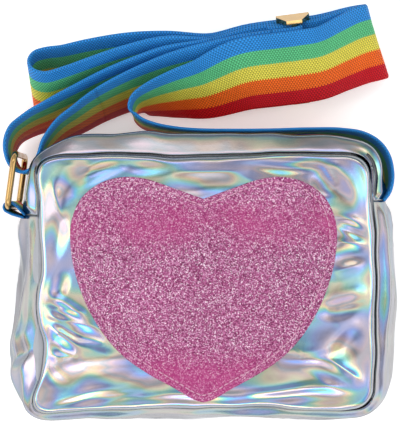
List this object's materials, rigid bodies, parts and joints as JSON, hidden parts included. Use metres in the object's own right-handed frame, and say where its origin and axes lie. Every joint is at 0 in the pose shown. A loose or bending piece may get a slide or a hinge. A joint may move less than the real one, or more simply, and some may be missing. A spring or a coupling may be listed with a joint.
{
  "type": "crossbody purse",
  "caption": "Boxy zip-top crossbody purse in iridescent film with a sewn glitter heart on the front, a side ring and a striped webbing strap with an adjuster, lying on its back.",
  "frame": {"origin": "middle of the back panel's flat outer face, where the bag rests", "axes": "+Z out of the front panel with the heart, +Y towards the zipped top, +X to the viewer's right; the bag lies on its back"},
  "size_m": [0.1978, 0.2135, 0.0612],
  "materials": {
    "film": "iridescent mirror film on a soft backing, crumpled",
    "glitter": "fine pink glitter sheet",
    "lining": "plain woven polyester",
    "zip_tape": "woven zip tape",
    "zip_teeth": "moulded teeth",
    "webbing": "ribbed webbing in five colour stripes",
    "hardware": "polished pale gold plating"
  },
  "bodies": {
    "bag": {"front_panel": "film", "back_panel": "film", "base_gusset": "film", "front_zip_strip": "film", "rear_zip_strip": "film", "lining_gusset": "lining", "lining_front": "lining", "lining_back": "lining", "front_zip_tape": "zip_tape", "rear_zip_tape": "zip_tape", "front_zip_teeth": "zip_teeth", "rear_zip_teeth": "zip_teeth", "zip_stops": "hardware", "heart_applique": "glitter", "ring_tab": "webbing", "strap_run": "webbing", "strap_ring_loop": "webbing"},
    "zip_slider": {"zip_slider": "hardware"},
    "zip_pull": {"zip_pull": "hardware"},
    "side_ring": {"side_ring": "hardware"},
    "adjuster": {"strap_adjuster": "hardware", "strap_sewn_end": "webbing"}
  },
  "joints": [
    {"name": "zip_slide", "type": "slide", "parent": "bag", "child": "zip_slider", "axis": [1, 0, 0], "range_m": [0, 0.076]},
    {"name": "pull_swing", "type": "hinge", "parent": "zip_slider", "child": "zip_pull", "pos_m": [-0.038, 0.0696, 0.029], "axis": [0, 1, 0], "range_deg": [-75, 75]},
    {"name": "ring_swing", "type": "hinge", "parent": "bag", "child": "side_ring", "pos_m": [-0.0976, 0.0362, 0.029], "axis": [0, 0, 1], "range_deg": [-12, 40], "deforming": ["strap_ring_loop"]},
    {"name": "adjuster_slide", "type": "slide", "parent": "bag", "child": "adjuster", "axis": [0.9917, 0.1288, 0], "range_m": [-0.008, 0.004], "deforming": ["strap_ring_loop"]}
  ]
}
